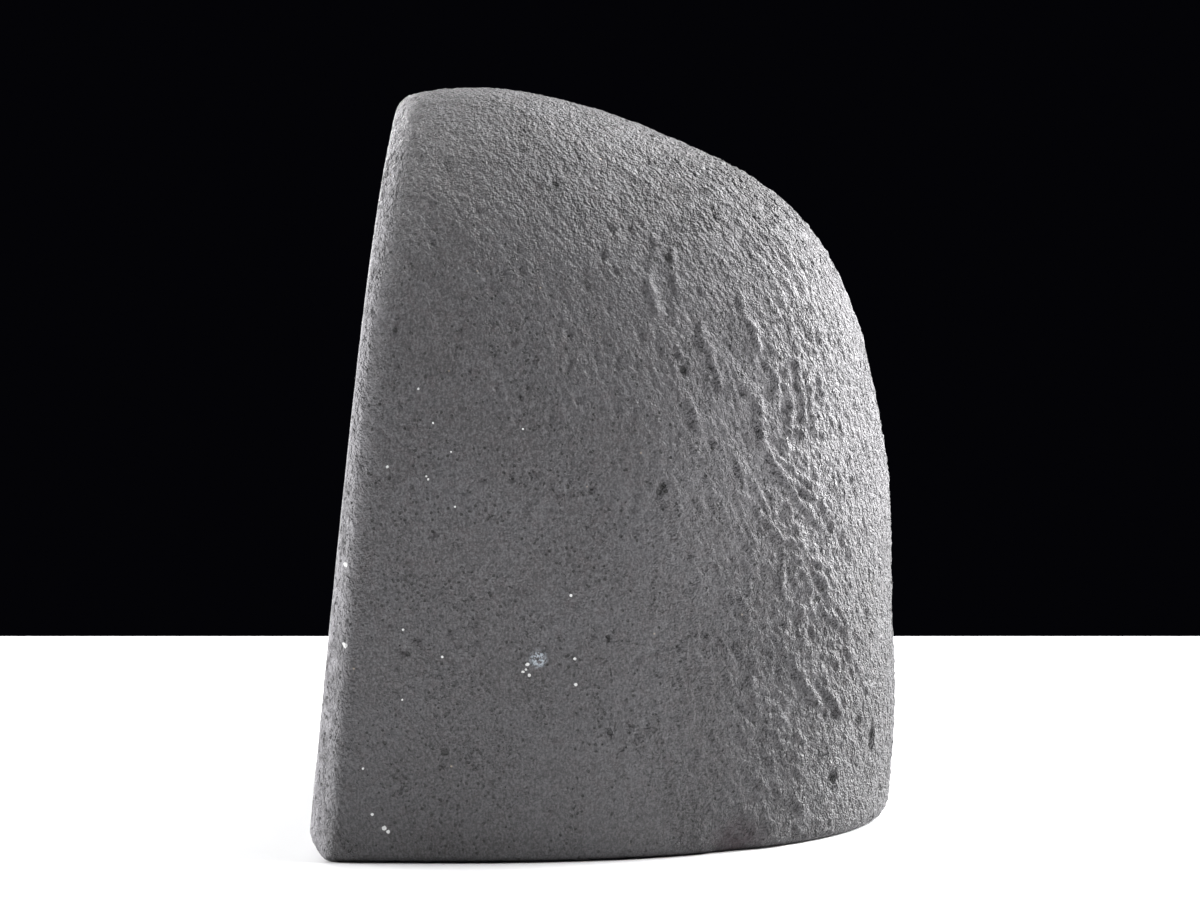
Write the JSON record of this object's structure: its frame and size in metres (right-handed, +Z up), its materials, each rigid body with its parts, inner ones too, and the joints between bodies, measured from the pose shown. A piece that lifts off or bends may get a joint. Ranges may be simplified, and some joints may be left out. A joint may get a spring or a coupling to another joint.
{
  "type": "amethyst geode",
  "caption": "Amethyst geode that stands upright on a sawn base, with a rounded back and sides in a grey cement coat and a sawn front open on a hollow lined with purple crystals.",
  "frame": {"origin": "middle of the footprint's bounding rectangle, on the surface that the sawn base stands on", "axes": "+Z up, the sawn front with the crystals faces -Y and the rounded back faces +Y"},
  "size_m": [0.1159, 0.1253, 0.1595],
  "materials": {
    "coated_rock": "matte",
    "amethyst": "glossy"
  },
  "bodies": {
    "root": {"rock_body": "coated_rock", "amethyst_crust": "amethyst"}
  },
  "joints": []
}
